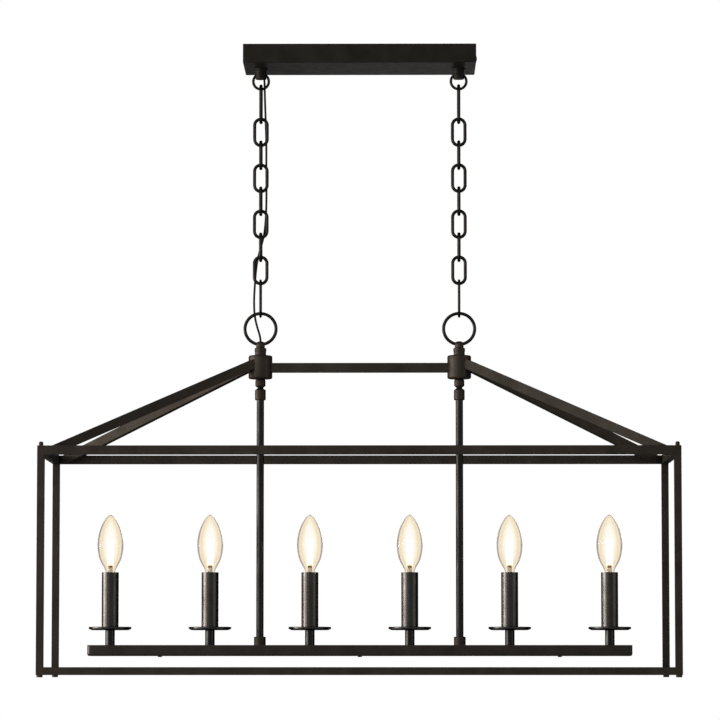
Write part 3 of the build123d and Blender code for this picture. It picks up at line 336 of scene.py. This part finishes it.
for subpart in frame["record"]["subparts"]:
    node = frame["nodes"][subpart["node"]]
    node.data.materials.clear()
    node.data.materials.append(SLOT_MATERIALS[subpart["material_slot"]])
for node_name, finish in NODE_MATERIALS.items():
    frame["nodes"][node_name].data.materials[0] = finish


# ---- Power cord ------------------------------------------------------------------------------------


def smooth_route(route):
    """Points along one smooth curve with the route's points as its control points."""
    curve = bpy.data.curves.new("cord_route", "CURVE")
    curve.dimensions = "3D"
    curve.resolution_u = CORD_CURVE_STEPS
    spline = curve.splines.new("NURBS")
    spline.points.add(len(route) - 1)
    for point, (right, back, height) in zip(spline.points, route):
        point.co = (LEFT_CHAIN_X + right, back, height, 1.0)
    spline.order_u = 3
    spline.use_endpoint_u = True
    holder = bpy.data.objects.new("cord_route", curve)
    scene.collection.objects.link(holder)
    bpy.context.view_layer.update()
    line = bpy.data.meshes.new_from_object(holder.evaluated_get(bpy.context.evaluated_depsgraph_get()))
    points = [vertex.co.copy() for vertex in line.vertices]
    bpy.data.objects.remove(holder)
    bpy.data.meshes.remove(line)
    return points


def cut_between(points, high, low):
    """The part of a falling line of points between two heights."""
    kept = []
    for start, end in zip(points, points[1:]):
        if start.z <= high and start.z >= low and (not kept or kept[-1] != start):
            kept.append(start)
        for level in (high, low):
            if start.z > level > end.z:
                kept.append(start.lerp(end, (start.z - level) / (start.z - end.z)))
    if low <= points[-1].z <= high:
        kept.append(points[-1])
    return kept


def tube(name, points, radius, sides):
    """A closed round tube along a line of points."""
    shape = bmesh.new()
    side_way = Vector((1.0, 0.0, 0.0))
    rings = []
    for index, point in enumerate(points):
        along = points[min(index + 1, len(points) - 1)] - points[max(index - 1, 0)]
        along.normalize()
        side_way = (side_way - along * side_way.dot(along)).normalized()
        other_way = along.cross(side_way)
        ring = []
        for step in range(sides):
            angle = math.tau * step / sides
            out = side_way * math.cos(angle) + other_way * math.sin(angle)
            ring.append(shape.verts.new(point + out * radius))
        rings.append(ring)
    for upper, lower in zip(rings, rings[1:]):
        for step in range(sides):
            after = (step + 1) % sides
            face = shape.faces.new((upper[step], upper[after], lower[after], lower[step]))
            face.smooth = True
    shape.faces.new(reversed(rings[0]))
    shape.faces.new(rings[-1])
    bmesh.ops.recalc_face_normals(shape, faces=shape.faces)
    mesh = bpy.data.meshes.new(name)
    shape.to_mesh(mesh)
    shape.free()
    piece = bpy.data.objects.new(name, mesh)
    scene.collection.objects.link(piece)
    return piece


def lay_cord():
    """The cord in four stretches, cut end to end from one smooth line."""
    line = smooth_route(CORD_ROUTE)
    high = line[0].z
    for name, low, upper_body, lower_body, bend_start, bend_end in CORD_STRETCHES:
        points = cut_between(line, high, low)
        piece = tube(name, points, CORD_DIAMETER / 2, CORD_SIDES)
        piece.data.materials.append(cord_plastic)
        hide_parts("power_cord")
        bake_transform(piece)
        high = low


lay_cord()


# ---- Floor, backdrop, light and camera -------------------------------------------------------------


def larger(nodes, links, first, second):
    """The larger of two values."""
    node = nodes.new("ShaderNodeMath")
    node.operation = "MAXIMUM"
    links.new(first, node.inputs[0])
    links.new(second, node.inputs[1])
    return node.outputs["Value"]


def make_world():
    """White for camera, glossy and transmission rays, and a soft even light for the others."""
    world = bpy.data.worlds.new("studio")
    scene.world = world
    world.use_nodes = True
    nodes = world.node_tree.nodes
    links = world.node_tree.links
    background = nodes["Background"]
    background.inputs["Color"].default_value = (1.0, 1.0, 1.0, 1.0)
    rays = nodes.new("ShaderNodeLightPath").outputs
    seen = larger(nodes, links, rays["Is Camera Ray"], rays["Is Glossy Ray"])
    seen = larger(nodes, links, seen, rays["Is Transmission Ray"])
    strength = map_range(nodes, links, seen, 0.0, 1.0, SOFT_LIGHT, BACKDROP_WHITE)
    links.new(strength, background.inputs["Strength"])


def make_floor():
    """A plain pale floor under the hanging cage, faintly mottled."""
    shape = bmesh.new()
    bmesh.ops.create_grid(shape, x_segments=2, y_segments=2, size=FLOOR_SIZE / 2)
    mesh = bpy.data.meshes.new("floor")
    shape.to_mesh(mesh)
    shape.free()
    floor = bpy.data.objects.new("floor", mesh)
    floor.location = (0.0, 0.0, FLOOR_HEIGHT)
    scene.collection.objects.link(floor)
    material, nodes, links, shader = new_material("pale_floor")
    tone = spread(nodes, links, object_noise(nodes, links, FLOOR_WAVES), 0.0, 1.0)
    links.new(blend_colours(nodes, links, tone, *FLOOR_TONES), shader.inputs["Base Color"])
    shader.inputs["Roughness"].default_value = FLOOR_ROUGHNESS
    floor.data.materials.append(material)


def area_light(name, place, width, height, watts, spread_angle):
    """A softbox that faces the lantern's middle, and doesn't itself show behind it or through the glass."""
    lamp = bpy.data.lights.new(name, "AREA")
    lamp.shape = "RECTANGLE"
    lamp.size = width
    lamp.size_y = height
    lamp.energy = watts
    lamp.spread = math.radians(spread_angle)
    holder = bpy.data.objects.new(name, lamp)
    holder.location = place
    holder.rotation_euler = (Vector(MIDDLE) - Vector(place)).to_track_quat("-Z", "Y").to_euler()
    holder.visible_camera = False
    holder.visible_transmission = False
    scene.collection.objects.link(holder)


def make_camera():
    """The camera, tilted up a little, with no shift."""
    lens = bpy.data.cameras.new("camera")
    lens.lens = CAMERA_LENS
    lens.sensor_width = CAMERA_SENSOR
    lens.clip_end = CAMERA_REACH
    camera = bpy.data.objects.new("camera", lens)
    camera.location = CAMERA_PLACE
    level = math.cos(CAMERA_UP_TILT)
    look = Vector((
        -math.sin(CAMERA_LEFT_TURN) * level, math.cos(CAMERA_LEFT_TURN) * level, math.sin(CAMERA_UP_TILT)
    ))
    camera.rotation_euler = look.to_track_quat("-Z", "Y").to_euler()
    scene.collection.objects.link(camera)
    scene.camera = camera


make_world()
make_floor()
for lamp_name, lamp_values in LAMPS.items():
    area_light(lamp_name, *lamp_values)
make_camera()
scene.view_settings.view_transform = "Standard"
